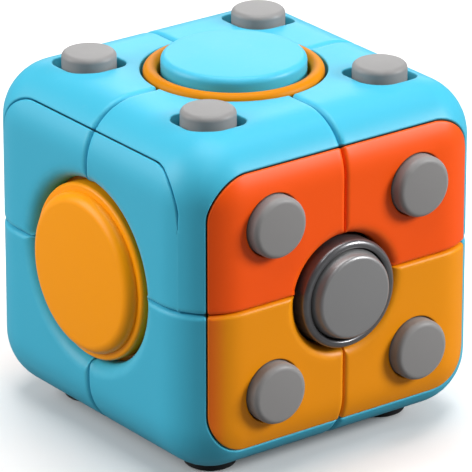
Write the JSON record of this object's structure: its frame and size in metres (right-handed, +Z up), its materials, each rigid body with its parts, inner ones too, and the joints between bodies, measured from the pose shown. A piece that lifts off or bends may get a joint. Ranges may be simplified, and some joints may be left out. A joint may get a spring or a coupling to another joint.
{
  "type": "fidget cube",
  "caption": "Rounded desk fidget cube of interlocking corner shells, with press buttons, a spinning ring, thumb pads and rubber feet.",
  "frame": {"origin": "centre of the underside of the four feet, on the surface that the cube stands on", "axes": "+Z up through the spinning ring's axis, -Y out of the orange and amber front face, -X out of the left thumb pad"},
  "size_m": [0.0346, 0.036, 0.0341],
  "materials": {
    "shell_blue": "satin moulded ABS, light cyan-blue",
    "tile_orange": "satin moulded ABS, red-orange",
    "tile_amber": "satin moulded ABS, amber",
    "pad_orange": "soft satin moulded plastic, orange",
    "ring_yellow": "glossy moulded plastic, yellow-orange",
    "button_gray": "matt moulded plastic, mid gray",
    "gunmetal": "polished dark metal plating",
    "core_gray": "plain moulded ABS",
    "acetal": "slippery natural acetal",
    "silicone": "translucent white silicone rubber",
    "rubber_black": "matt black rubber",
    "steel": "zinc-plated steel"
  },
  "bodies": {
    "cube_body": {"core_frame": "core_gray", "core_lid": "core_gray", "shell_top_front_left": "shell_blue", "shell_top_front_right": "shell_blue", "shell_top_rear_left": "shell_blue", "shell_top_rear_right": "shell_blue", "shell_bottom_front_left": "shell_blue", "shell_bottom_front_right": "shell_blue", "shell_bottom_rear_left": "shell_blue", "shell_bottom_rear_right": "shell_blue", "front_tile_top_left": "tile_orange", "front_tile_top_right": "tile_orange", "front_tile_bottom_left": "tile_amber", "front_tile_bottom_right": "tile_amber", "rear_tile_top_left": "tile_orange", "rear_tile_top_right": "tile_orange", "rear_tile_bottom_left": "tile_amber", "rear_tile_bottom_right": "tile_amber", "left_tile_front": "shell_blue", "left_tile_rear": "shell_blue", "right_tile_front": "shell_blue", "right_tile_rear": "shell_blue", "front_collar": "gunmetal", "rear_collar": "gunmetal", "ring_race": "acetal", "rubber_feet": "rubber_black", "foot_screws": "steel", "lug_screws": "steel", "lid_screws": "steel", "top_keypad": "silicone", "front_keypad": "silicone", "rear_keypad": "silicone", "disc_spring": "steel", "front_spring": "steel", "rear_spring": "steel", "left_spring": "steel", "right_spring": "steel"},
    "top_button_front_left": {"top_button_front_left": "button_gray"},
    "top_button_front_right": {"top_button_front_right": "button_gray"},
    "top_button_rear_left": {"top_button_rear_left": "button_gray"},
    "top_button_rear_right": {"top_button_rear_right": "button_gray"},
    "top_disc": {"top_disc": "shell_blue", "disc_clip": "steel"},
    "front_button_top_left": {"front_button_top_left": "button_gray"},
    "front_button_top_right": {"front_button_top_right": "button_gray"},
    "front_button_bottom_left": {"front_button_bottom_left": "button_gray"},
    "front_button_bottom_right": {"front_button_bottom_right": "button_gray"},
    "front_centre_button": {"front_centre_button": "gunmetal"},
    "rear_button_top_left": {"rear_button_top_left": "button_gray"},
    "rear_button_top_right": {"rear_button_top_right": "button_gray"},
    "rear_button_bottom_left": {"rear_button_bottom_left": "button_gray"},
    "rear_button_bottom_right": {"rear_button_bottom_right": "button_gray"},
    "rear_centre_button": {"rear_centre_button": "gunmetal"},
    "left_thumb_pad": {"left_thumb_pad": "pad_orange"},
    "right_thumb_pad": {"right_thumb_pad": "pad_orange"},
    "spin_ring": {"spin_ring": "ring_yellow"}
  },
  "joints": [
    {"name": "top_button_front_left_press", "type": "slide", "parent": "cube_body", "child": "top_button_front_left", "axis": [0, 0, -1], "range_m": [0, 0.0008], "stiffness_N_per_m": 1500, "springref_m": -0.00023, "deforming": ["top_keypad"]},
    {"name": "top_button_front_right_press", "type": "slide", "parent": "cube_body", "child": "top_button_front_right", "axis": [0, 0, -1], "range_m": [0, 0.0008], "stiffness_N_per_m": 1500, "springref_m": -0.00023, "deforming": ["top_keypad"]},
    {"name": "top_button_rear_left_press", "type": "slide", "parent": "cube_body", "child": "top_button_rear_left", "axis": [0, 0, -1], "range_m": [0, 0.0008], "stiffness_N_per_m": 1500, "springref_m": -0.00023, "deforming": ["top_keypad"]},
    {"name": "top_button_rear_right_press", "type": "slide", "parent": "cube_body", "child": "top_button_rear_right", "axis": [0, 0, -1], "range_m": [0, 0.0008], "stiffness_N_per_m": 1500, "springref_m": -0.00023, "deforming": ["top_keypad"]},
    {"name": "top_disc_press", "type": "slide", "parent": "cube_body", "child": "top_disc", "axis": [0, 0, -1], "range_m": [0, 0.001], "stiffness_N_per_m": 1600, "springref_m": -0.0005, "deforming": ["disc_spring"]},
    {"name": "front_button_top_left_press", "type": "slide", "parent": "cube_body", "child": "front_button_top_left", "axis": [0, 1, 0], "range_m": [0, 0.0008], "stiffness_N_per_m": 1500, "springref_m": -0.00023, "deforming": ["front_keypad"]},
    {"name": "front_button_top_right_press", "type": "slide", "parent": "cube_body", "child": "front_button_top_right", "axis": [0, 1, 0], "range_m": [0, 0.0008], "stiffness_N_per_m": 1500, "springref_m": -0.00023, "deforming": ["front_keypad"]},
    {"name": "front_button_bottom_left_press", "type": "slide", "parent": "cube_body", "child": "front_button_bottom_left", "axis": [0, 1, 0], "range_m": [0, 0.0008], "stiffness_N_per_m": 1500, "springref_m": -0.00023, "deforming": ["front_keypad"]},
    {"name": "front_button_bottom_right_press", "type": "slide", "parent": "cube_body", "child": "front_button_bottom_right", "axis": [0, 1, 0], "range_m": [0, 0.0008], "stiffness_N_per_m": 1500, "springref_m": -0.00023, "deforming": ["front_keypad"]},
    {"name": "front_centre_button_press", "type": "slide", "parent": "cube_body", "child": "front_centre_button", "axis": [0, 1, 0], "range_m": [0, 0.0008], "stiffness_N_per_m": 1800, "springref_m": -0.00033, "deforming": ["front_spring"]},
    {"name": "rear_button_top_left_press", "type": "slide", "parent": "cube_body", "child": "rear_button_top_left", "axis": [0, -1, 0], "range_m": [0, 0.0008], "stiffness_N_per_m": 1500, "springref_m": -0.00023, "deforming": ["rear_keypad"]},
    {"name": "rear_button_top_right_press", "type": "slide", "parent": "cube_body", "child": "rear_button_top_right", "axis": [0, -1, 0], "range_m": [0, 0.0008], "stiffness_N_per_m": 1500, "springref_m": -0.00023, "deforming": ["rear_keypad"]},
    {"name": "rear_button_bottom_left_press", "type": "slide", "parent": "cube_body", "child": "rear_button_bottom_left", "axis": [0, -1, 0], "range_m": [0, 0.0008], "stiffness_N_per_m": 1500, "springref_m": -0.00023, "deforming": ["rear_keypad"]},
    {"name": "rear_button_bottom_right_press", "type": "slide", "parent": "cube_body", "child": "rear_button_bottom_right", "axis": [0, -1, 0], "range_m": [0, 0.0008], "stiffness_N_per_m": 1500, "springref_m": -0.00023, "deforming": ["rear_keypad"]},
    {"name": "rear_centre_button_press", "type": "slide", "parent": "cube_body", "child": "rear_centre_button", "axis": [0, -1, 0], "range_m": [0, 0.0008], "stiffness_N_per_m": 1800, "springref_m": -0.00033, "deforming": ["rear_spring"]},
    {"name": "left_thumb_pad_press", "type": "slide", "parent": "cube_body", "child": "left_thumb_pad", "axis": [1, 0, 0], "range_m": [0, 0.001], "stiffness_N_per_m": 1600, "springref_m": -0.0005, "deforming": ["left_spring"]},
    {"name": "right_thumb_pad_press", "type": "slide", "parent": "cube_body", "child": "right_thumb_pad", "axis": [-1, 0, 0], "range_m": [0, 0.001], "stiffness_N_per_m": 1600, "springref_m": -0.0005, "deforming": ["right_spring"]},
    {"name": "spin_ring_turn", "type": "hinge", "parent": "cube_body", "child": "spin_ring", "pos_m": [0, 0, 0.0327], "axis": [0, 0, 1], "continuous": true}
  ]
}
